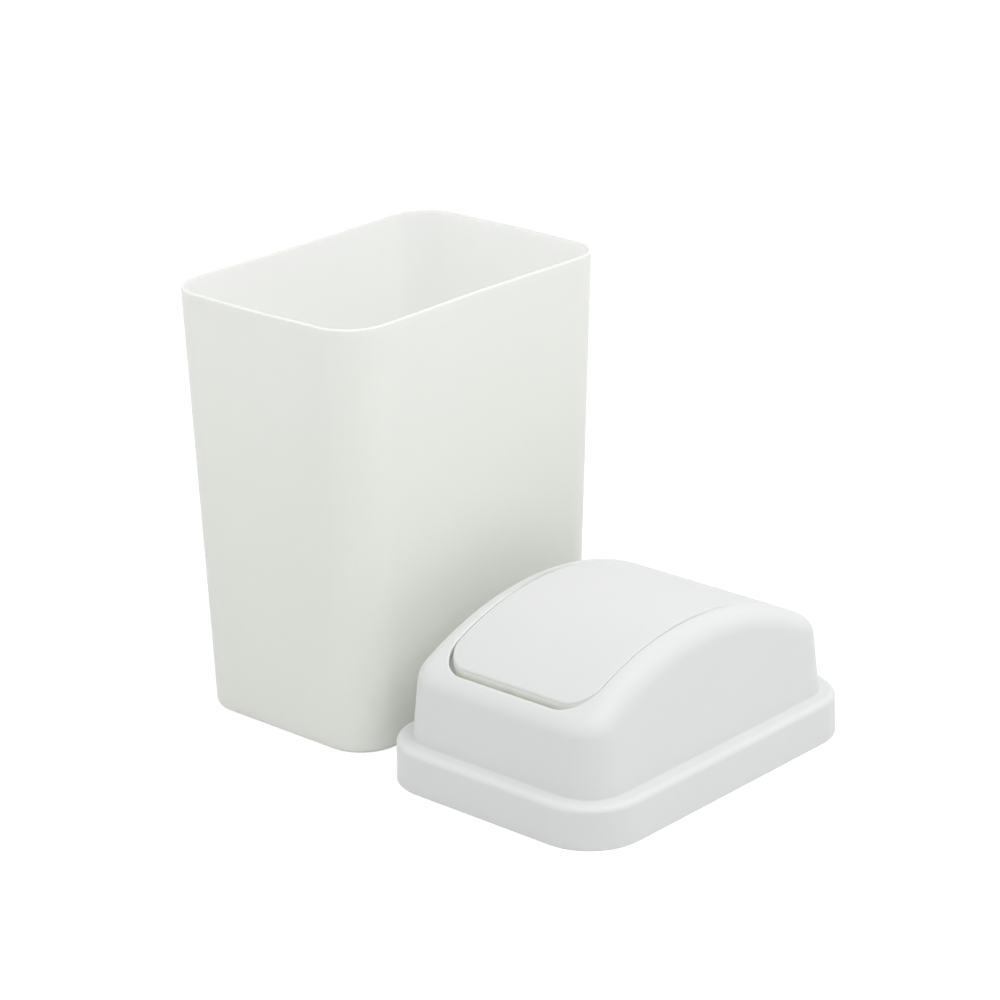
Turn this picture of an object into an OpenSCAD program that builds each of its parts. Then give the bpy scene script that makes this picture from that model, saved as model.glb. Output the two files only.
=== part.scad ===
// Countertop bin with a swing lid.
// Three mouldings: a tapered bin, a hood that drops over its rim, and a flap that swings in the hood.
// The lid is taken off and stands beside the bin, both on one table.
// X runs across the bin, Y along it, Z up. The origin is the middle of the bin's base.

/* [Bin] */
// Width across the rim, outside
bin_w = 110.3; // [90:0.1:140]
// Length along the rim, outside
bin_l = 160; // [130:0.1:200]
// Height
bin_h = 190; // [140:1:260]
// How far each wall leans in from rim to base
bin_taper = 5; // [2:0.5:9]
// Radius of the upright corners, outside
bin_corner = 19; // [12:0.5:26]
// Thickness of the walls
bin_wall = 1.5; // [1:0.1:2.5]
// Thickness of the floor
bin_floor = 2; // [1.2:0.1:4]
// Rounding where the walls meet the base, outside
base_round = 2; // [1:0.1:4]
// Width of the foot ring round the base
foot_w = 5; // [3:0.5:9]
// Depth of the recess inside the foot ring
foot_recess = 0.8; // [0.3:0.1:1.2]

/* [Lid skirt] */
// How far the skirt stands out from the bin's rim
skirt_out = 6.4; // [4:0.1:10]
// Height of the ledge on top of the skirt
ledge_h = 18.6; // [12:0.1:28]
// Rounding of the skirt's top edge
skirt_round = 2.6; // [2:0.1:4]
// How far the skirt's foot flares out below that edge
skirt_flare = 0.3; // [0:0.1:1]
// Width of the ledge between the skirt's face and the hood's wall
ledge_w = 7.7; // [6:0.1:9]
// Thickness of the lid's walls
lid_wall = 1.6; // [1.2:0.1:2]

/* [Lid hood] */
// Height of the hood's crest above the table
crest_h = 71.2; // [64:0.1:84]
// Radius of the arch that hood and flap share
arch_r = 134; // [124:1:180]
// Radius of the hood's upright corners at the ledge
hood_corner = 15.6; // [14.5:0.1:18]
// How far the hood's walls lean in, per unit of height
hood_lean = 0.1; // [0.04:0.01:0.11]
// Radius of the round edge between wall and arch
hood_round = 10; // [8.5:0.1:10.5]
// Radius of the hollow where wall meets ledge
root_round = 0.8; // [0.4:0.1:1.5]

/* [Flap] */
// Strip of arch left between the hood's round edge and the sides of the flap opening
side_strip = 0.3; // [0.1:0.1:2]
// Strip of arch left between the round edge and the ends of the opening
end_strip = 0.7; // [0.1:0.1:2]
// Radius of the opening's corners
opening_corner = 14.5; // [12:0.5:18]
// Running gap between opening and flap at the sides
side_gap = 0.5; // [0.3:0.1:1.2]
// Gap between opening and flap at the ends
end_gap = 3.4; // [2.2:0.1:5]
// Thickness of the flap's panel
flap_t = 1.8; // [1.4:0.1:3]
// Depth of the lip turned down all round the flap
lip_h = 4.6; // [3.5:0.1:6]
// Thickness of that lip
lip_t = 1.6; // [1.2:0.1:2.4]

/* [Hinge] */
// Depth of the hinge line below the crest
pivot_drop = 5.4; // [5:0.1:8]
// Radius of the flap's pivot pins
pin_r = 2; // [1.5:0.1:2.5]
// Running clearance of a pin in its ear, on the radius
pin_clearance = 0.05; // [0.02:0.01:0.1]
// Radius of the round lug that carries a pin
lug_r = 4.2; // [3.5:0.1:5]
// Thickness of an ear
ear_t = 3; // [2:0.1:4]
// Half width of an ear
ear_r = 5; // [4:0.1:6.5]
// Gap between flap and ear
ear_gap = 1; // [0.6:0.1:1.5]

/* [Rim guides] */
// Clearance of the skirt's guide ribs round the bin's rim
guide_gap = 0.6; // [0.3:0.1:1.2]
// Thickness of a guide rib
guide_t = 1.6; // [1:0.1:3]
// Height of the ribs' lower ends above the skirt's foot
guide_lift = 4; // [1:0.5:6]
// How far up a rib's inner edge is cut away, to lead the rim in
guide_lead = 2; // [0.5:0.1:4]

/* [Layout] */
// Gap between the bin's rim and the skirt of the lid beside it
lid_apart = 8.8; // [2:0.1:80]
// How far the lid stands along the bin from the bin's middle
lid_along = 1; // [-60:1:60]

/* [Smoothness] */
// Steps round each upright corner
corner_steps = 10; // [6:1:16]
// Steps along each long side of the hood, where the arch curves
side_steps = 14; // [8:1:24]
// Steps across the hood's round edge, outside
round_steps = 8; // [5:1:12]

/* [Hidden] */
$fn = 96;

// Steps across the bin's small edges, the skirt's edge, the hollow at the hood's foot and the hood's inside
edge_steps = 4;
skirt_steps = 4;
root_steps = 2;
inner_steps = 5;

// Bin: half sizes at the rim
rim_x = bin_w/2;
rim_y = bin_l/2;

// Lid: half sizes of the skirt's foot, and of the hood at the ledge
skirt_x = rim_x + skirt_out;
skirt_y = rim_y + skirt_out;
skirt_corner = bin_corner + skirt_out;
hood_x = skirt_x - skirt_flare - ledge_w;
hood_y = skirt_y - skirt_flare - ledge_w;
lid_place = [rim_x + lid_apart + skirt_x, lid_along, 0];

// Height of the arch's centre line, and the rounds in which the search for the ball under it settles
arch_z = crest_h - arch_r;
ball_rounds = 4;

// Path of the ball that rounds the hood's edge: its height and place at the crest, its place at the ends
crest_ball_z = crest_h - hood_round;
crest_ball_x = wall_at(hood_x, crest_ball_z) - hood_round;
end_ball_y = ball_y(hood_y, crest_ball_z, ball_rounds);

// Flap opening and flap, half sizes
open_x = crest_ball_x - side_strip;
open_y = end_ball_y*arch_r/(arch_r - hood_round) - end_strip;
flap_x = open_x - side_gap;
flap_y = open_y - end_gap;
flap_corner = opening_corner - (side_gap + end_gap)/2;

// Hinge line, and the ears' faces. An ear's top ends three quarters of the way down in the hood's wall.
pivot_z = crest_h - pivot_drop;
ear_in = flap_x + ear_gap;
ear_mid = ear_in + ear_t/2;
ear_top = crest_h - 0.75*lid_wall;

// Ribs stand two corner radii in from the ends of each side
rib_x = rim_x - 2*bin_corner;
rib_y = rim_y - 2*bin_corner;

// Rounded rectangle as an exact outline, given by half sizes and corner radius
module plan(x, y, r) {
    square([2*(x - r), 2*y], center = true);
    square([2*x, 2*(y - r)], center = true);
    for (sx = [-1, 1], sy = [-1, 1])
        translate([sx*(x - r), sy*(y - r)]) circle(r);
}

// Stations round a rounded rectangle, counter-clockwise.
// Each is [fx, fy, nx, ny]: a share of the inner rectangle's half sizes, and the outward direction there.
function stations(n_corner, n_side) = [
    for (q = [0:3])
        let (sx = [1, -1, -1, 1][q], sy = [1, 1, -1, -1][q], long_side = q % 2 == 1)
        each concat(
            [for (i = [0:n_corner]) let (a = 90*(q + i/n_corner)) [sx, sy, cos(a), sin(a)]],
            [if (long_side) for (i = [1:n_side - 1]) [sx, sy*(1 - 2*i/n_side), sx, 0]]
        )
];

// One ring of points for a list of stations, at half sizes x and y, corner radius r and height z
function ring(st, x, y, r, z) = [for (s = st) [s[0]*(x - r) + r*s[2], s[1]*(y - r) + r*s[3], z]];

// Skin through a list of rings, the solid to their left: a closed loop of rings, or capped at both ends
module skin(rings, closed) {
    n = len(rings[0]);
    m = len(rings);
    body = [
        for (j = [0:(closed ? m - 1 : m - 2)], i = [0:n - 1])
            let (a = j*n + i, b = j*n + (i + 1) % n, c = ((j + 1) % m)*n + i, d = ((j + 1) % m)*n + (i + 1) % n)
            each [[a, c, b], [b, c, d]]
    ];
    caps = closed ? [] : [[for (i = [0:n - 1]) i], [for (i = [n - 1:-1:0]) (m - 1)*n + i]];
    polyhedron([for (r = rings) each r], concat(body, caps));
}

// ---- Bin ----

// How far the bin's wall has leaned in at height z
function lean(z) = bin_taper*(1 - z/bin_h);

// Ring of the bin, set in from the outer wall by d at height z
function bin_ring(st, d, z) =
    ring(st, rim_x - lean(z) - d, rim_y - lean(z) - d, bin_corner - d, z);

module bin() {
    st = stations(corner_steps, 1);
    inner_round = base_round + bin_wall;
    rim_r = bin_wall/2;
    outer = [
        for (i = [0:edge_steps]) let (a = 90*i/edge_steps)
            bin_ring(st, base_round*(1 - sin(a)), base_round*(1 - cos(a)))
    ];
    rim = [
        for (i = [0:2*edge_steps]) let (a = 90*i/edge_steps)
            bin_ring(st, rim_r - rim_r*cos(a), bin_h - rim_r + rim_r*sin(a))
    ];
    inner = [
        for (i = [0:edge_steps]) let (a = 90*i/edge_steps)
            bin_ring(st, bin_wall + inner_round*(1 - cos(a)), bin_floor + inner_round*(1 - sin(a)))
    ];
    color("whitesmoke")
    difference() {
        skin(concat(outer, rim, inner), false);
        translate([0, 0, -foot_recess])
            linear_extrude(2*foot_recess)
                plan(rim_x - bin_taper - foot_w, rim_y - bin_taper - foot_w, bin_corner - foot_w);
    }
}

// ---- Lid ----

// Half size of a hood wall at height z, from its half size at the ledge
function wall_at(half, z) = half - hood_lean*(z - ledge_h);

// Height of the centre of a ball of radius r that touches the arch from below, at distance y along it
function ball_z(y, r) = arch_z + sqrt((arch_r - r)*(arch_r - r) - y*y);

// Distance along the lid at which that ball touches a wall too, found in n rounds from height z
function ball_y(half, z, n) =
    let (y = wall_at(half, z) - hood_round)
    n < 1 ? y : ball_y(half, ball_z(y, hood_round), n - 1);

// Centre of the ball at a station, found in n rounds from height z
function ball_centre(s, z, n) =
    let (
        r = hood_corner - hood_lean*(z - ledge_h) - hood_round,
        x = s[0]*(hood_x - hood_corner) + r*s[2],
        y = s[1]*(hood_y - hood_corner) + r*s[3]
    )
    n < 1 ? [x, y, z] : ball_centre(s, ball_z(y, hood_round), n - 1);

// Direction from a to b, f of the way round
function turn(a, b, f) =
    let (w = acos(a*b))
    (sin((1 - f)*w)*a + sin(f*w)*b)/sin(w);

// Ring on the hood's round edge: f = 0 on the wall, f = 1 on the arch, t deep in the wall
function edge_ring(st, f, t) = [
    for (s = st)
        let (
            c = ball_centre(s, crest_ball_z, ball_rounds),
            wall = [s[2], s[3], hood_lean]/norm([s[2], s[3], hood_lean]),
            top = [0, c[1], c[2] - arch_z]/norm([0, c[1], c[2] - arch_z])
        )
        c + (hood_round - t)*turn(wall, top, f)
];

// Ring on the arch round the flap opening, t below the outer surface
function opening_ring(st, t) = [
    for (p = ring(st, open_x, open_y, opening_corner, 0))
        [p[0], p[1], arch_z + sqrt((arch_r - t)*(arch_r - t) - p[1]*p[1])]
];

// Rings of the lid's outer skin from the skirt's foot up to the hood's round edge
function lid_outer(st) = concat(
    [ring(st, skirt_x, skirt_y, skirt_corner, 0)],
    [
        for (i = [0:skirt_steps]) let (a = 90*i/skirt_steps, d = skirt_flare + skirt_round*(1 - cos(a)))
            ring(st, skirt_x - d, skirt_y - d, skirt_corner - d, ledge_h - skirt_round*(1 - sin(a)))
    ],
    [
        for (i = [0:root_steps]) let (a = 90*i/root_steps, d = root_round*(1 - sin(a)))
            ring(st, hood_x + d, hood_y + d, hood_corner + d, ledge_h + root_round*(1 - cos(a)))
    ]
);

// Rings of the lid's inner skin from the hood's wall down to the skirt's foot
function lid_inner(st) =
    let (r = skirt_round - lid_wall)
    concat(
        [ring(st, hood_x - lid_wall, hood_y - lid_wall, hood_corner - lid_wall, ledge_h - lid_wall)],
        [
            for (i = [root_steps:-1:0]) let (a = 90*i/root_steps, d = skirt_flare + lid_wall + r*(1 - cos(a)))
                ring(st, skirt_x - d, skirt_y - d, skirt_corner - d, ledge_h - skirt_round + r*sin(a))
        ],
        [ring(st, skirt_x - lid_wall, skirt_y - lid_wall, skirt_corner - lid_wall, 0)]
    );

// Upright rib that reaches out along X from its inner edge, slanted below to lead the rim in
module rib(reach) {
    top = ledge_h - lid_wall/2;
    rotate([90, 0, 0])
        linear_extrude(guide_t, center = true)
            polygon([
                [0, guide_lift + guide_lead], [reach/3, guide_lift], [reach, guide_lift], [reach, top], [0, top]
            ]);
}

// Ribs inside the skirt that centre the lid on the bin's rim
module guides() {
    reach = skirt_out - guide_gap - skirt_flare - lid_wall/2;
    for (side = [0, 180], f = [-1, 0, 1])
        rotate([0, 0, side]) translate([rim_x + guide_gap, f*rib_y, 0]) rib(reach);
    for (side = [90, 270], f = [-1, 1])
        rotate([0, 0, side]) translate([rim_y + guide_gap, f*rib_x, 0]) rib(reach);
}

// Ears that hang from the hood beside the flap, each with a bore for a pin
module ears() {
    for (sx = [-1, 1])
        translate([sx*ear_mid, 0, 0])
            difference() {
                union() {
                    translate([0, 0, pivot_z]) rotate([0, 90, 0]) cylinder(h = ear_t, r = ear_r, center = true);
                    translate([0, 0, (pivot_z + ear_top)/2])
                        cube([ear_t, 2*ear_r, ear_top - pivot_z], center = true);
                }
                translate([0, 0, pivot_z])
                    rotate([0, 90, 0]) cylinder(h = 2*ear_t, r = pin_r + pin_clearance, center = true);
            }
}

module lid_hood() {
    st = stations(corner_steps, side_steps);
    color("white")
    translate(lid_place) {
        skin(concat(
            lid_outer(st),
            [for (i = [0:round_steps]) edge_ring(st, i/round_steps, 0)],
            [opening_ring(st, 0), opening_ring(st, lid_wall)],
            [for (i = [inner_steps:-1:0]) edge_ring(st, i/inner_steps, lid_wall)],
            lid_inner(st)
        ), true);
        guides();
        ears();
    }
}

// Slice of the arch between two depths below its outer surface, wider than the flap
module arch(top, bottom) {
    translate([0, 0, arch_z])
        rotate([0, 90, 0])
            difference() {
                cylinder(h = 3*flap_x, r = arch_r - top, center = true, $fn = 360);
                cylinder(h = 4*flap_x, r = arch_r - bottom, center = true, $fn = 360);
            }
}

// Upright prism with the flap's outline, set in by d and taller than the lid
module flap_prism(d) {
    linear_extrude(2*crest_h) plan(flap_x - d, flap_y - d, flap_corner - d);
}

module swing_flap() {
    color("snow")
    translate(lid_place) {
        difference() {
            intersection() {
                arch(0, lip_h);
                flap_prism(0);
            }
            intersection() {
                arch(flap_t, 2*lip_h);
                flap_prism(lip_t);
            }
        }
        for (sx = [-1, 1]) {
            translate([sx*(flap_x - lip_t/2), 0, pivot_z])
                rotate([0, 90, 0]) cylinder(h = lip_t, r = lug_r, center = true);
            translate([sx*(flap_x - lip_t), 0, pivot_z])
                rotate([0, sx*90, 0]) cylinder(h = lip_t + ear_gap + ear_t, r = pin_r);
        }
    }
}

bin();
lid_hood();
swing_flap();
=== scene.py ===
# Countertop bin with its swing lid taken off and standing beside it: the looks.
# X runs across the bin, Y along it, Z up; the origin is the middle of the bin's base. Sizes of the
# mouldings are in millimetres and are turned to metres as each mesh is made.
import math

import bmesh
import bpy
import numpy as np
from mathutils import Matrix, Vector


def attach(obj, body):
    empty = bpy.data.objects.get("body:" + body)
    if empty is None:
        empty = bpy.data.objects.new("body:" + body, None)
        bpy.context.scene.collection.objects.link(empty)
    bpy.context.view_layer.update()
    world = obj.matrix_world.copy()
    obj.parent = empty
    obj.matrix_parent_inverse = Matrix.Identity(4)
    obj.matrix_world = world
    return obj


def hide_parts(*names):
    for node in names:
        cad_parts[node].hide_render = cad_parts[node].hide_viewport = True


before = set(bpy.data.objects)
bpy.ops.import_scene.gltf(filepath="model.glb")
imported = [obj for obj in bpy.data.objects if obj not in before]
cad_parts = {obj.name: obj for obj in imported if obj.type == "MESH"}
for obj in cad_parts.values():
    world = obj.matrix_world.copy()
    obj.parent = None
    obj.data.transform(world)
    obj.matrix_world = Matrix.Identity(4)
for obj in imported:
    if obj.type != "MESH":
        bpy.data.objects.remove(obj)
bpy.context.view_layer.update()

MM = 0.001


# ---- Bin -------------------------------------------------------------------------------------
# The real piece is one injection moulding in white polypropylene, 1.5 mm thick, open at the top.
# Its walls lean out towards the rim, and they warped a little as they cooled: at the rim the long
# walls draw in and the short walls belly out by about a millimetre.

# Half sizes at the rim, height, and how far each wall leans in from rim to base
rim_x, rim_y = 55.15, 80.0
bin_tall = 190.0
bin_lean = 5.0
bin_corner = 19.0
bin_wall = 1.5
bin_floor = 2.0
base_round = 2.0
rim_draw_in = 1.05
rim_belly_out = 1.0

# Foot ring: its width, the recess inside it, and the rounding of its inner edge
foot_width = 5.0
foot_recess = 0.8
foot_edge = 0.3

# Mesh steps round an upright corner, up a wall, and round the small edges. Edges bent by more than
# the sharp angle are shaded sharp.
corner_steps = 24
wall_steps = 24
foot_edge_steps = 4
base_steps = 10
rim_steps = 12
sharp_angle = math.radians(35)


def set_stations(long_steps, short_steps):
    """Points round a rounded rectangle, counter-clockwise, as rows of share of the inner rectangle
    in X and Y, then the outward direction in X and Y."""
    rows = []
    for quarter, (sx, sy) in enumerate(((1, 1), (-1, 1), (-1, -1), (1, -1))):
        for i in range(corner_steps + 1):
            turn = math.pi / 2 * (quarter + i / corner_steps)
            rows.append((sx, sy, math.cos(turn), math.sin(turn)))
        if quarter % 2:
            rows += [(sx, sy * (1 - 2 * i / long_steps), sx, 0) for i in range(1, long_steps)]
        else:
            rows += [(sx * (1 - 2 * i / short_steps), sy, 0, sy) for i in range(1, short_steps)]
    return np.array(rows, float)


def loop(stations, plan, out, z):
    """One closed loop of points at those stations: a rounded rectangle, given by its half sizes and
    corner radius, set that far out, at height z."""
    x, y, corner = (size + out for size in plan)
    return np.column_stack([
        stations[:, 0] * (x - corner) + corner * stations[:, 2],
        stations[:, 1] * (y - corner) + corner * stations[:, 3],
        np.broadcast_to(z, len(stations)),
    ])


def quarter_turn(steps):
    """Sine and cosine of 0 to 90 degrees in even steps."""
    return [(math.sin(a), math.cos(a)) for a in np.linspace(0, math.pi / 2, steps + 1)]


def cap(points, first):
    """Strips across a loop that mirrors itself in X, joining each point to its mirror image. Points
    whose Y agrees to four decimals make one row."""
    decimals = 4
    order = np.lexsort((points[:, 0], np.round(points[:, 1], decimals)))
    rows = {}
    for i in order:
        rows.setdefault(round(float(points[i, 1]), decimals), []).append(int(i))
    levels = [rows[k] for k in sorted(rows)]
    return [tuple(first + i for i in low + high[::-1]) for low, high in zip(levels, levels[1:])]


def skin(loops, ring_shaped=False, inside_from=None):
    """Vertices, faces and zones of a skin through loops. Its ends join, or each gets a cap of
    straight strips from one side of its loop to the other. The zone of a face is 1 from the loop
    inside_from on, where the mould's core formed it, and 0 before."""
    n, m = len(loops[0]), len(loops)
    inside_from = m if inside_from is None else inside_from
    faces, zones = [], []
    for j in range(m if ring_shaped else m - 1):
        a, b = j * n, (j + 1) % m * n
        faces += [(a + i, a + (i + 1) % n, b + (i + 1) % n, b + i) for i in range(n)]
        zones += [int(j >= inside_from)] * n
    if not ring_shaped:
        for first in (0, (m - 1) * n):
            strips = cap(loops[0], first)
            faces += strips
            zones += [int(first > 0 and inside_from < m)] * len(strips)
    return np.vstack(loops), faces, zones


def moulding(name, parts, place=(0, 0, 0)):
    """One mesh object from several closed skins in millimetres, smooth but for its sharp edges.
    Its first material is for the faces of zone 0, its second for those of zone 1."""
    mesh = bpy.data.meshes.new(name)
    points, faces, zones = [], [], []
    for verts, polys, sides in parts:
        start = sum(len(p) for p in points)
        points.append(np.asarray(verts, float))
        faces += [tuple(start + i for i in f) for f in polys]
        zones += sides
    points = (np.vstack(points) + np.array(place)) * MM
    mesh.from_pydata(points.tolist(), [], faces)
    mesh.polygons.foreach_set("material_index", zones)
    bm = bmesh.new()
    bm.from_mesh(mesh)
    bmesh.ops.recalc_face_normals(bm, faces=bm.faces)
    bm.to_mesh(mesh)
    bm.free()
    mesh.shade_smooth()
    mesh.set_sharp_from_angle(angle=sharp_angle)
    piece = bpy.data.objects.new(name, mesh)
    bpy.context.scene.collection.objects.link(piece)
    even = piece.modifiers.new("even_shading", "WEIGHTED_NORMAL")
    even.keep_sharp = True
    return piece


def bin_loop(stations, inset, z):
    """Loop of the bin, inset from its outer wall, with the warp that grows towards the rim."""
    lean = bin_lean * (1 - z / bin_tall)
    points = loop(stations, (rim_x - lean, rim_y - lean, bin_corner), -inset, z)
    warp = max(z / bin_tall, 0) ** 2
    # The way out on the straight stretch of a long or a short wall, and 0 anywhere else. The cosine
    # fades the warp to nothing at both ends of a stretch.
    on_long = (np.abs(stations[:, 1]) < 1) * stations[:, 2]
    on_short = (np.abs(stations[:, 0]) < 1) * stations[:, 3]
    points[:, 0] -= rim_draw_in * warp * on_long * (1 + np.cos(math.pi * stations[:, 1])) / 2
    points[:, 1] += rim_belly_out * warp * on_short * (1 + np.cos(math.pi * stations[:, 0])) / 2
    return points


def bin_skin():
    """The bin from the recess under its base up the outside, over the rim and down the inside."""
    stations = set_stations(long_steps=32, short_steps=24)
    rim_r = bin_wall / 2
    top = bin_tall - rim_r
    inner_round = base_round + bin_wall
    inner_bottom = bin_floor + inner_round
    shares = np.linspace(0, 1, wall_steps + 1)[1:-1]
    outside = [bin_loop(stations, foot_width, foot_recess)]
    outside += [
        bin_loop(stations, foot_width - foot_edge * (1 - c), foot_edge * (1 - s))
        for s, c in quarter_turn(foot_edge_steps)
    ]
    outside += [
        bin_loop(stations, base_round * (1 - s), base_round * (1 - c))
        for s, c in quarter_turn(base_steps)
    ]
    outside += [bin_loop(stations, 0, base_round + (top - base_round) * f) for f in shares]
    outside += [
        bin_loop(stations, rim_r - rim_r * math.cos(a), top + rim_r * math.sin(a))
        for a in np.linspace(0, math.pi, rim_steps + 1)
    ]
    inside = [bin_loop(stations, bin_wall, top + (inner_bottom - top) * f) for f in shares]
    inside += [
        bin_loop(stations, bin_wall + inner_round * (1 - c), bin_floor + inner_round * (1 - s))
        for s, c in quarter_turn(base_steps)
    ]
    return skin(outside + inside, inside_from=len(outside) - 1)


def srgb(code):
    """Linear colour of an sRGB hex value."""
    parts = [int(code[i:i + 2], 16) / 255 for i in (1, 3, 5)]
    return tuple(c / 12.92 if c <= 0.04045 else ((c + 0.055) / 1.055) ** 2.4 for c in parts) + (1.0,)


def add_node(material, kind, settings=None, links=None):
    """Adds a node to a material or world: its settings and input values by name, then its input links."""
    tree = material.node_tree
    node = tree.nodes.new(kind)
    for key, value in (settings or {}).items():
        if key in node.inputs:
            node.inputs[key].default_value = value
        else:
            setattr(node, key, value)
    for key, output in (links or {}).items():
        tree.links.new(output, node.inputs[key])
    return node


# The colour drifts over clouds 60 mm wide, and the walls' waves are 35 mm long. Real etched grain is
# about 0.1 mm wide, too fine to show here, so the grain below is drawn 0.5 to 0.6 mm wide.
cloud_mm = 60
wave_mm = 35
roughness_drift = 0.04
polypropylene_ior = 1.49
# A Mix node's two colour inputs and its colour output share their names with others, so they go by number
colour_a, colour_b, colour_out = 6, 7, 2


def moulded_polypropylene(name, pale, deep, roughness, grain_mm, grain_depth_mm, wave_depth_mm, glow_mm):
    """Injection moulded polypropylene. Its colour is a touch uneven, its grain breaks up the gloss,
    and the long shallow waves are those of a wall that shrank as it cooled. Light travels about
    glow_mm inside it before it comes out, which softens its shadows."""
    material = bpy.data.materials.new(name)
    material.use_nodes = True
    material.node_tree.nodes.clear()
    place = add_node(material, "ShaderNodeTexCoord").outputs["Object"]
    cloud = add_node(
        material, "ShaderNodeTexNoise", {"Scale": 1 / (cloud_mm * MM), "Detail": 3.0}, {"Vector": place},
    )
    tint = add_node(material, "ShaderNodeMix", {"data_type": "RGBA"}, {"Factor": cloud.outputs["Fac"]})
    tint.inputs[colour_a].default_value = srgb(pale)
    tint.inputs[colour_b].default_value = srgb(deep)
    grain = add_node(
        material, "ShaderNodeTexNoise", {"Scale": 1 / (grain_mm * MM), "Detail": 2.0, "Roughness": 0.6},
        {"Vector": place},
    )
    waves = add_node(
        material, "ShaderNodeTexNoise", {"Scale": 1 / (wave_mm * MM), "Detail": 1.0}, {"Vector": place},
    )
    long_bump = add_node(
        material, "ShaderNodeBump", {"Strength": 1.0, "Distance": wave_depth_mm * MM},
        {"Height": waves.outputs["Fac"]},
    )
    fine_bump = add_node(
        material, "ShaderNodeBump", {"Strength": 1.0, "Distance": grain_depth_mm * MM},
        {"Height": grain.outputs["Fac"], "Normal": long_bump.outputs["Normal"]},
    )
    rough = add_node(
        material, "ShaderNodeMapRange",
        {"To Min": roughness - roughness_drift, "To Max": roughness + roughness_drift},
        {"Value": grain.outputs["Fac"]},
    )
    plastic = add_node(
        material, "ShaderNodeBsdfPrincipled",
        {
            "IOR": polypropylene_ior, "Metallic": 0.0,
            "Subsurface Weight": 1.0, "Subsurface Radius": (1.0, 1.0, 1.0), "Subsurface Scale": glow_mm * MM,
        },
        {
            "Base Color": tint.outputs[colour_out],
            "Roughness": rough.outputs["Result"],
            "Normal": fine_bump.outputs["Normal"],
        },
    )
    add_node(material, "ShaderNodeOutputMaterial", {}, {"Surface": plastic.outputs["BSDF"]})
    return material


# The outside has the mould's satin finish, which blurs every highlight into an even, soft white. The
# inside was formed by a polished core, so it is a little glossier. Its colour is painted paler and a
# little greener than the plastic really is: painted light for the later bounces of the light between
# the walls, which the renderer leaves out.
bin_outside = moulded_polypropylene(
    "satin_polypropylene_bin_outside", pale="#DEDFDB", deep="#DCDDD9", roughness=0.5,
    grain_mm=0.5, grain_depth_mm=0.012, wave_depth_mm=0.15, glow_mm=5.0,
)
bin_inside = moulded_polypropylene(
    "polished_polypropylene_bin_inside_painted_light", pale="#FAFEF4", deep="#F9FDF3", roughness=0.4,
    grain_mm=0.5, grain_depth_mm=0.006, wave_depth_mm=0.15, glow_mm=12.0,
)

bin_shell = moulding("bin_moulding", [bin_skin()])
for plastic in (bin_outside, bin_inside):
    bin_shell.data.materials.append(plastic)
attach(bin_shell, "bin")
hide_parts("bin")


# ---- Lid hood --------------------------------------------------------------------------------
# The second moulding: a skirt that drops over the bin's rim, a flat ledge, and a hood under a long
# arch. A ball of one radius, rolled along under the arch, rounds the hood's edge. Ribs inside the
# skirt centre it on the rim, and an ear on each side of the opening carries one of the flap's pins.

# Skirt and ledge, and where the lid stands beside the bin
skirt_out = 6.4
skirt = (rim_x + skirt_out, rim_y + skirt_out, bin_corner + skirt_out)
skirt_x, skirt_y = skirt[:2]
skirt_flare = 0.3
skirt_round = 2.6
skirt_foot_edge = 0.3
ledge_z = 18.6
ledge_width = 7.7
lid_wall = 1.6
lid_apart, lid_shift = 8.8, 1.0
lid_place = (rim_x + lid_apart + skirt_x, lid_shift, 0.0)

# Hood: half sizes and corner at the ledge, lean per unit of height, roundings, and the arch
hood_x = skirt_x - skirt_flare - ledge_width
hood_y = skirt_y - skirt_flare - ledge_width
hood_corner = 15.6
hood = (hood_x, hood_y, hood_corner)
hood_lean = 0.1
hood_round = 10.0
root_round = 0.8
crest_z = 71.2
arch_r = 134.0
arch_z = crest_z - arch_r

# Flap opening: half sizes and corner, its rounded edge, and the hem turned down round it
opening_x, opening_y, opening_corner = opening = (38.99, 70.67, 14.5)
opening_edge = 0.5
hem_deep, hem_wall = 3.3, 1.2

# Mesh steps round each edge, and the rounds in which the search for the ball's centre settles
skirt_foot_steps = 3
skirt_steps = 12
root_steps = 6
edge_steps = 24
inner_edge_steps = 16
opening_edge_steps = 4
hollow_steps = 6
ball_rounds = 8


def on_arch(points, depth):
    """The same points, set on the arch at that depth below its outer surface."""
    placed = points.copy()
    placed[:, 2] = arch_z + np.sqrt((arch_r - depth) ** 2 - placed[:, 1] ** 2)
    return placed


def ball_centres(stations):
    """Centre of the edge ball at each station: it touches the leaning wall and, from below, the arch."""
    z = np.full(len(stations), crest_z - hood_round)
    for _ in range(ball_rounds):
        r = hood_corner - hood_lean * (z - ledge_z) - hood_round
        x = stations[:, 0] * (hood_x - hood_corner) + r * stations[:, 2]
        y = stations[:, 1] * (hood_y - hood_corner) + r * stations[:, 3]
        z = arch_z + np.sqrt((arch_r - hood_round) ** 2 - y ** 2)
    return np.column_stack([x, y, z])


def edge_loop(stations, share, depth):
    """Loop on the hood's round edge, from share 0 on the wall to share 1 on the arch."""
    centre = ball_centres(stations)
    wall = np.column_stack([stations[:, 2], stations[:, 3], np.full(len(stations), hood_lean)])
    roof = np.column_stack([np.zeros(len(stations)), centre[:, 1], centre[:, 2] - arch_z])
    wall /= np.linalg.norm(wall, axis=1)[:, None]
    roof /= np.linalg.norm(roof, axis=1)[:, None]
    angle = np.arccos((wall * roof).sum(1))[:, None]
    way = (np.sin((1 - share) * angle) * wall + np.sin(share * angle) * roof) / np.sin(angle)
    return centre + (hood_round - depth) * way


def between(first, last, steps):
    """Loops in even steps between two loops, without the two."""
    return [first + (last - first) * i / steps for i in range(1, steps)]


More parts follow.
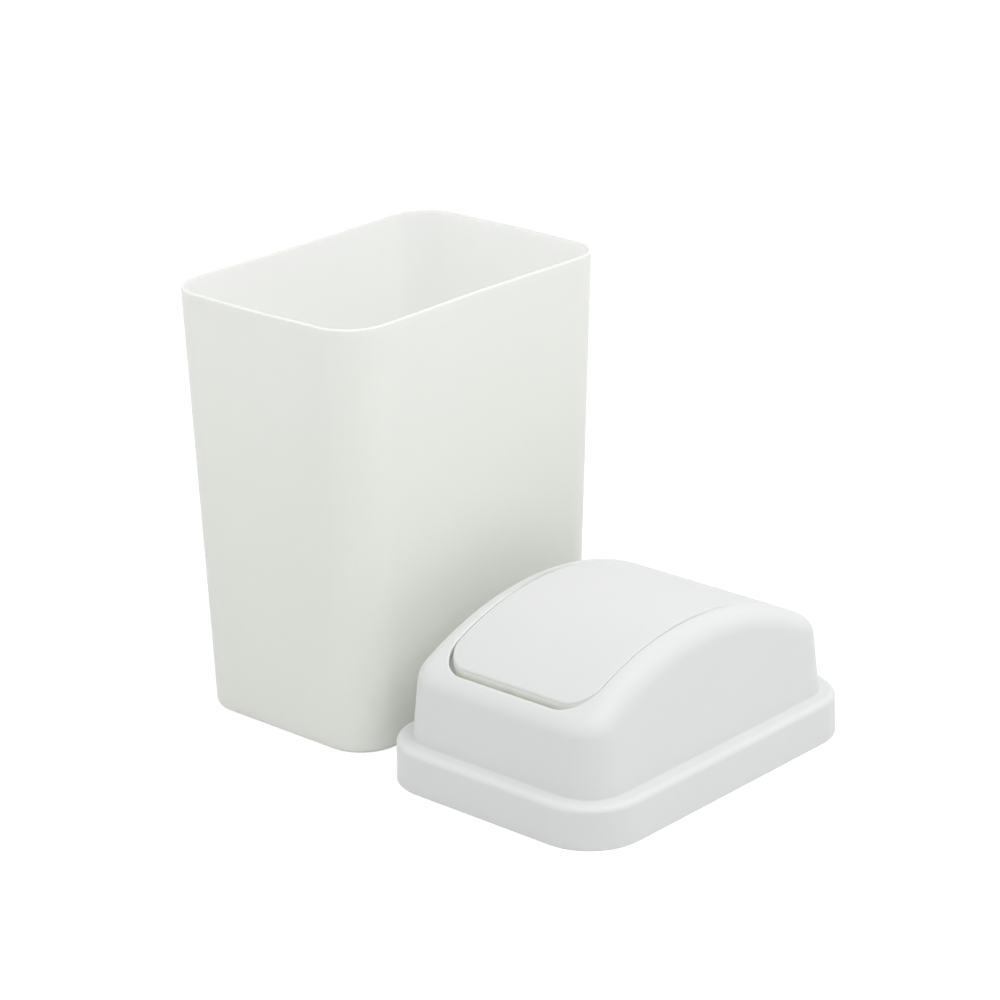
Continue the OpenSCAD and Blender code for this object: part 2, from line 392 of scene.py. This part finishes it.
def hood_outside(stations):
    """Loops from the skirt's foot over the ledge and up to the flap opening's edge."""
    loops = [
        loop(stations, skirt, -skirt_foot_edge * (1 - s), skirt_foot_edge * (1 - c))
        for s, c in quarter_turn(skirt_foot_steps)
    ]
    skirt_top = [
        loop(stations, skirt, -skirt_flare - skirt_round * (1 - c), ledge_z - skirt_round * (1 - s))
        for s, c in quarter_turn(skirt_steps)
    ]
    root = [
        loop(stations, hood, root_round * (1 - s), ledge_z + root_round * (1 - c))
        for s, c in quarter_turn(root_steps)
    ]
    edge = [edge_loop(stations, i / edge_steps, 0) for i in range(edge_steps + 1)]
    lip = [
        on_arch(loop(stations, opening, opening_edge * (1 - s), 0), opening_edge * (1 - c))
        for s, c in quarter_turn(opening_edge_steps)
    ]
    loops += between(loops[-1], skirt_top[0], steps=4) + skirt_top
    loops += between(loops[-1], root[0], steps=3) + root
    loops += between(loops[-1], edge[0], steps=8) + edge
    loops += [on_arch(points, 0) for points in between(edge[-1], lip[0], steps=4)] + lip
    return loops


def hood_inside(stations):
    """Loops from the hem round the opening down the inside to the skirt's foot."""
    hem = [
        on_arch(loop(stations, opening, out, 0), depth)
        for out, depth in ((0, hem_deep), (hem_wall, hem_deep), (hem_wall, lid_wall))
    ]
    edge = [edge_loop(stations, i / inner_edge_steps, lid_wall) for i in range(inner_edge_steps, -1, -1)]
    root = loop(stations, hood, -lid_wall, ledge_z - lid_wall)
    inner_round = skirt_round - lid_wall
    hollow_wall = skirt_flare + lid_wall
    hollow = [
        loop(stations, skirt, -hollow_wall - inner_round * (1 - c), ledge_z - skirt_round + inner_round * s)
        for s, c in reversed(quarter_turn(hollow_steps))
    ]
    foot = loop(stations, skirt, -lid_wall, 0)
    loops = hem + edge + between(edge[-1], root, steps=8) + [root]
    return loops + between(root, hollow[0], steps=3) + hollow + between(hollow[-1], foot, steps=4) + [foot]


def hood_skin():
    """The hood as one closed skin, outside and inside joined at the opening and at the skirt's foot."""
    stations = set_stations(long_steps=48, short_steps=16)
    outside = hood_outside(stations)
    return skin(outside + hood_inside(stations), ring_shaped=True, inside_from=len(outside) - 1)


# Guide ribs: running gap to the rim, thickness, height of their lower ends, and the slant's height
guide_gap = 0.6
guide_thick = 1.6
guide_foot_z = 4.0
guide_lead_in = 2.0


def prism(outline, thick, start, out, across):
    """A closed prism from an outline of (out, up) pairs, from start in those directions."""
    n = len(outline)
    start, out, across, up = (np.array(v, float) for v in (start, out, across, (0, 0, 1)))
    points = [start + a * out + b * up + side * thick / 2 * across for side in (-1, 1) for a, b in outline]
    faces = [tuple(range(n)), tuple(range(2 * n - 1, n - 1, -1))]
    faces += [(i, (i + 1) % n, n + (i + 1) % n, n + i) for i in range(n)]
    return points, faces, [1] * len(faces)


def guide_ribs():
    """Ribs inside the skirt, in the middle of each long side and two corner radii in from the ends of
    every side. A rib's lower end slants over a third of its depth, to lead the bin's rim in, and its
    top outer corner is cut back to keep clear of the skirt's round edge."""
    top = ledge_z - lid_wall / 2
    reach = skirt_x - rim_x - guide_gap - skirt_flare - lid_wall / 2
    cut = skirt_round / 2
    outline = [
        (0, guide_foot_z + guide_lead_in), (0, top), (reach - cut, top), (reach, top - cut),
        (reach, guide_foot_z), (reach / 3, guide_foot_z),
    ]
    ribs = []
    for side in (-1, 1):
        for share in (-1, 0, 1):
            start = (side * (rim_x + guide_gap), share * (rim_y - 2 * bin_corner), 0)
            ribs.append(prism(outline, guide_thick, start, out=(side, 0, 0), across=(0, 1, 0)))
        for share in (-1, 1):
            start = (share * (rim_x - 2 * bin_corner), side * (rim_y + guide_gap), 0)
            ribs.append(prism(outline, guide_thick, start, out=(0, side, 0), across=(1, 0, 0)))
    return ribs


# Hinge line, pins and ears. An ear runs up into the hood's wall, and ends below the crest by three
# quarters of the wall's thickness.
side_gap = 0.5
ear_gap = 1.0
pivot_drop = 5.4
pivot_z = crest_z - pivot_drop
pin_r = 2.0
pin_clearance = 0.05
bore_r = pin_r + pin_clearance
ear_r = 5.0
ear_thick = 3.0
ear_sink = 0.75
ear_in = opening_x - side_gap + ear_gap
ear_top = crest_z - ear_sink * lid_wall - pivot_z
bar_steps = 48


def ears():
    """Two ears with a bore each, round below and square where they run up into the hood's roof."""
    made = []
    for side in (-1, 1):
        rings = []
        for x in (ear_in, ear_in + ear_thick):
            hole, rim = [], []
            for i in range(bar_steps):
                a = 2 * math.pi * (i + 0.5) / bar_steps
                c, s = math.cos(a), math.sin(a)
                reach = ear_r if s <= 0 else min(ear_r / abs(c), ear_top / s)
                hole.append((side * x, bore_r * c, pivot_z + bore_r * s))
                rim.append((side * x, reach * c, pivot_z + reach * s))
            rings += [hole, rim]
        order = [rings[0], rings[1], rings[3], rings[2]]
        made.append(skin([np.array(r) for r in order], ring_shaped=True))
    return made


# The same satin white as the bin, a touch cooler. Light travels less far inside it than in the bin,
# which keeps its edges crisp. The inside is the core's smoother face. Its colour is painted paler and
# greener than the plastic really is: painted light for the light that gathers under the hood and in
# the gaps round the flap.
lid_outside = moulded_polypropylene(
    "satin_polypropylene_lid_outside", pale="#DADCDB", deep="#D8DAD9", roughness=0.5,
    grain_mm=0.5, grain_depth_mm=0.02, wave_depth_mm=0.05, glow_mm=1.0,
)
lid_inside = moulded_polypropylene(
    "polished_polypropylene_lid_inside_painted_light", pale="#FAFEF2", deep="#F9FDF1", roughness=0.4,
    grain_mm=0.5, grain_depth_mm=0.006, wave_depth_mm=0.05, glow_mm=12.0,
)

lid_hood = moulding("hood_moulding", [hood_skin()] + guide_ribs() + ears(), lid_place)
for plastic in (lid_outside, lid_inside):
    lid_hood.data.materials.append(plastic)
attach(lid_hood, "lid")
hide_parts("lid_hood")


# ---- Swing flap ------------------------------------------------------------------------------
# The third moulding: a panel bent to the hood's arch with a lip turned down all round. Its mould
# was etched, so its top is more matte than the hood. Two pins on its long sides turn in the ears,
# each on a round lug that hangs below the lip.

# Half sizes and corner, the panel, the lip, and the rounding of the top edge at sides and ends
end_gap = 3.4
flap_x, flap_y = opening_x - side_gap, opening_y - end_gap
flap = (flap_x, flap_y, opening_corner - (side_gap + end_gap) / 2)
flap_thick = 1.8
flap_lip = 4.6
flap_lip_wall = 1.6
flap_side_edge, flap_end_edge = 0.7, 0.8
flap_edge_steps = 8

# Lugs and pins: a lug stands a little further in than the lip, so that no two faces lie together
lug_r, lug_edge = 4.2, 0.1
lug_step = 0.3
pin_edge = 0.3
bar_edge_steps = 4


def flap_loop(stations, inset, depth):
    """Loop of the flap, inset from its outer side, at that depth below the arch."""
    return on_arch(loop(stations, flap, -inset, 0), depth)


def flap_skin():
    """The flap from its top over the edge, down the lip's outside and up its inside to the panel."""
    stations = set_stations(long_steps=64, short_steps=16)
    edge = flap_side_edge + (flap_end_edge - flap_side_edge) * stations[:, 3] ** 2
    top = [flap_loop(stations, edge * (1 - s), edge * (1 - c)) for s, c in quarter_turn(flap_edge_steps)]
    foot = flap_loop(stations, 0, flap_lip)
    inner_foot = flap_loop(stations, flap_lip_wall, flap_lip)
    inner_top = flap_loop(stations, flap_lip_wall, flap_thick)
    lip = between(top[-1], foot, steps=3) + [foot, inner_foot]
    lip += between(inner_foot, inner_top, steps=3) + [inner_top]
    return skin(top + lip, inside_from=len(top) - 1)


def round_bar(x_from, x_to, radius, edge):
    """A short round bar along X about the hinge line, its far end's edge rounded."""
    n = bar_steps
    side = 1 if x_to > x_from else -1
    turns = np.linspace(0, 2 * math.pi, n + 1)[:-1]
    steps = [(x_from, radius)]
    for s, c in quarter_turn(bar_edge_steps):
        steps.append((x_to - side * edge * (1 - s), radius - edge * (1 - c)))
    rings = [
        np.column_stack([np.full(n, x), r * np.cos(turns), pivot_z + r * np.sin(turns)])
        for x, r in steps
    ]
    faces = []
    for a in range(0, (len(rings) - 1) * n, n):
        b = a + n
        faces += [(a + i, a + (i + 1) % n, b + (i + 1) % n, b + i) for i in range(n)]
    faces += [tuple(range(n)), tuple(range((len(rings) - 1) * n, len(rings) * n))]
    return np.vstack(rings), faces, [1] * len(faces)


def pins():
    """On each side a lug, and the pin that reaches from within the lug through the ear."""
    bars = []
    for side in (-1, 1):
        lug_from, lug_to = flap_x - flap_lip_wall - lug_step, flap_x - lug_step
        pin_from, pin_to = flap_x - flap_lip_wall / 2, ear_in + ear_thick
        bars.append(round_bar(side * lug_from, side * lug_to, lug_r, lug_edge))
        bars.append(round_bar(side * pin_from, side * pin_to, pin_r, pin_edge))
    return bars


# The etched top scatters light more than the satin hood, so it looks flat and dry. The lip and the
# underside have the core's smoother face. Their colour is painted paler and greener than the plastic
# really is: painted light for the light that gathers in the gap in front of the flap.
flap_top = moulded_polypropylene(
    "etched_matte_polypropylene_flap_top", pale="#D8D9D9", deep="#D6D7D7", roughness=0.58,
    grain_mm=0.6, grain_depth_mm=0.04, wave_depth_mm=0.03, glow_mm=1.0,
)
flap_inside = moulded_polypropylene(
    "polished_polypropylene_flap_lip_painted_light", pale="#FAFEF2", deep="#F9FDF1", roughness=0.4,
    grain_mm=0.5, grain_depth_mm=0.006, wave_depth_mm=0.03, glow_mm=0.15,
)

swing_flap = moulding("flap_moulding", [flap_skin()] + pins(), lid_place)
for plastic in (flap_top, flap_inside):
    swing_flap.data.materials.append(plastic)
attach(swing_flap, "flap")
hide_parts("swing_flap")


# ---- Floor and light -------------------------------------------------------------------------
# A plain white floor and sky, both white where the camera sees them. The floor that is seen glows
# evenly under a thin grey coat that carries the object's shadow. The light on the object comes from
# the sky, a strong soft lamp high on the right, and weak ones overhead, on the left and behind.

# Half the side of the floor, and the point that the lamps are aimed at, in metres
floor_half = 3.0
object_middle = Vector((0.06, 0.0, 0.08))

floor_mesh = bpy.data.meshes.new("floor")
floor_corners = [(sx * floor_half, sy * floor_half, 0) for sx, sy in ((-1, -1), (1, -1), (1, 1), (-1, 1))]
floor_mesh.from_pydata(floor_corners, [], [(0, 1, 2, 3)])
floor = bpy.data.objects.new("floor", floor_mesh)
bpy.context.scene.collection.objects.link(floor)


def seen_directly(material):
    """1 where a ray comes from the camera, or by way of gloss or glass."""
    path = add_node(material, "ShaderNodeLightPath")
    mirror = add_node(
        material, "ShaderNodeMath", {"operation": "MAXIMUM"},
        {0: path.outputs["Is Camera Ray"], 1: path.outputs["Is Glossy Ray"]},
    )
    both = add_node(
        material, "ShaderNodeMath", {"operation": "MAXIMUM"},
        {0: mirror.outputs["Value"], 1: path.outputs["Is Transmission Ray"]},
    )
    return both.outputs["Value"]


# Matte white paper: no gloss, so nothing of the object is mirrored in it
white_paper = bpy.data.materials.new("white_paper_floor")
white_paper.use_nodes = True
white_paper.node_tree.nodes.clear()
paper = add_node(white_paper, "ShaderNodeBsdfDiffuse", {"Color": srgb("#EAEAEA")})
glow = add_node(white_paper, "ShaderNodeEmission", {"Color": srgb("#FFFFFF"), "Strength": 0.86})
thin_coat = add_node(white_paper, "ShaderNodeBsdfDiffuse", {"Color": srgb("#8C8C8C")})
shown_paper = add_node(
    white_paper, "ShaderNodeAddShader", {}, {0: glow.outputs["Emission"], 1: thin_coat.outputs["BSDF"]},
)
floor_mix = add_node(
    white_paper, "ShaderNodeMixShader", {},
    {0: seen_directly(white_paper), 1: paper.outputs["BSDF"], 2: shown_paper.outputs["Shader"]},
)
add_node(white_paper, "ShaderNodeOutputMaterial", {}, {"Surface": floor_mix.outputs["Shader"]})
floor_mesh.materials.append(white_paper)

sky = bpy.data.worlds.new("white_sky")
bpy.context.scene.world = sky
sky.use_nodes = True
sky.node_tree.nodes.clear()
sky_light = add_node(sky, "ShaderNodeBackground", {"Color": srgb("#FFFFFF"), "Strength": 0.67})
sky_seen = add_node(sky, "ShaderNodeBackground", {"Color": srgb("#FFFFFF"), "Strength": 1.0})
sky_mix = add_node(
    sky, "ShaderNodeMixShader", {},
    {0: seen_directly(sky), 1: sky_light.outputs["Background"], 2: sky_seen.outputs["Background"]},
)
add_node(sky, "ShaderNodeOutputWorld", {}, {"Surface": sky_mix.outputs["Shader"]})


def soft_lamp(name, place, size, watts):
    """A round soft lamp, placed in metres and aimed at the middle of the object."""
    lamp = bpy.data.lights.new(name, "AREA")
    lamp.shape = "DISK"
    lamp.size = size
    lamp.energy = watts
    holder = bpy.data.objects.new(name, lamp)
    holder.location = place
    holder.rotation_mode = "QUATERNION"
    holder.rotation_quaternion = (object_middle - Vector(place)).to_track_quat("-Z", "Y")
    bpy.context.scene.collection.objects.link(holder)


soft_lamp("overhead_softbox", place=(0.2, 0.0, 1.6), size=2.0, watts=2.7)
soft_lamp("right_softbox", place=(0.9, -0.1, 1.3), size=1.6, watts=11.4)
soft_lamp("left_softbox", place=(-0.7, -1.4, 0.5), size=1.2, watts=3.6)
soft_lamp("rear_softbox", place=(0.3, 1.3, 1.0), size=1.4, watts=2.2)


# ---- Camera ----------------------------------------------------------------------------------
# A long lens from the front right, a little above: the view that the rim, the base and the skirt's
# edges of the real pieces call for.

aim = Vector((37.486, 26.458, 85.126)) * MM
azimuth, elevation, roll = (math.radians(a) for a in (42.15, 20.428, -1.034))
distance = 1531.55 * MM
back = Vector((
    math.sin(azimuth) * math.cos(elevation), -math.cos(azimuth) * math.cos(elevation), math.sin(elevation)
))
level = Vector((math.cos(azimuth), math.sin(azimuth), 0))
upright = back.cross(level)
right = level * math.cos(roll) + upright * math.sin(roll)
up = upright * math.cos(roll) - level * math.sin(roll)

lens = bpy.data.cameras.new("camera")
lens.sensor_width = 36.0
lens.lens = 127.02
lens.clip_start, lens.clip_end = 0.05, 20.0
camera = bpy.data.objects.new("camera", lens)
camera.matrix_world = Matrix((
    (right.x, up.x, back.x, 0), (right.y, up.y, back.y, 0), (right.z, up.z, back.z, 0), (0, 0, 0, 1)
))
camera.location = aim + back * distance
bpy.context.scene.collection.objects.link(camera)
bpy.context.scene.camera = camera

bpy.context.scene.view_settings.view_transform = "Standard"
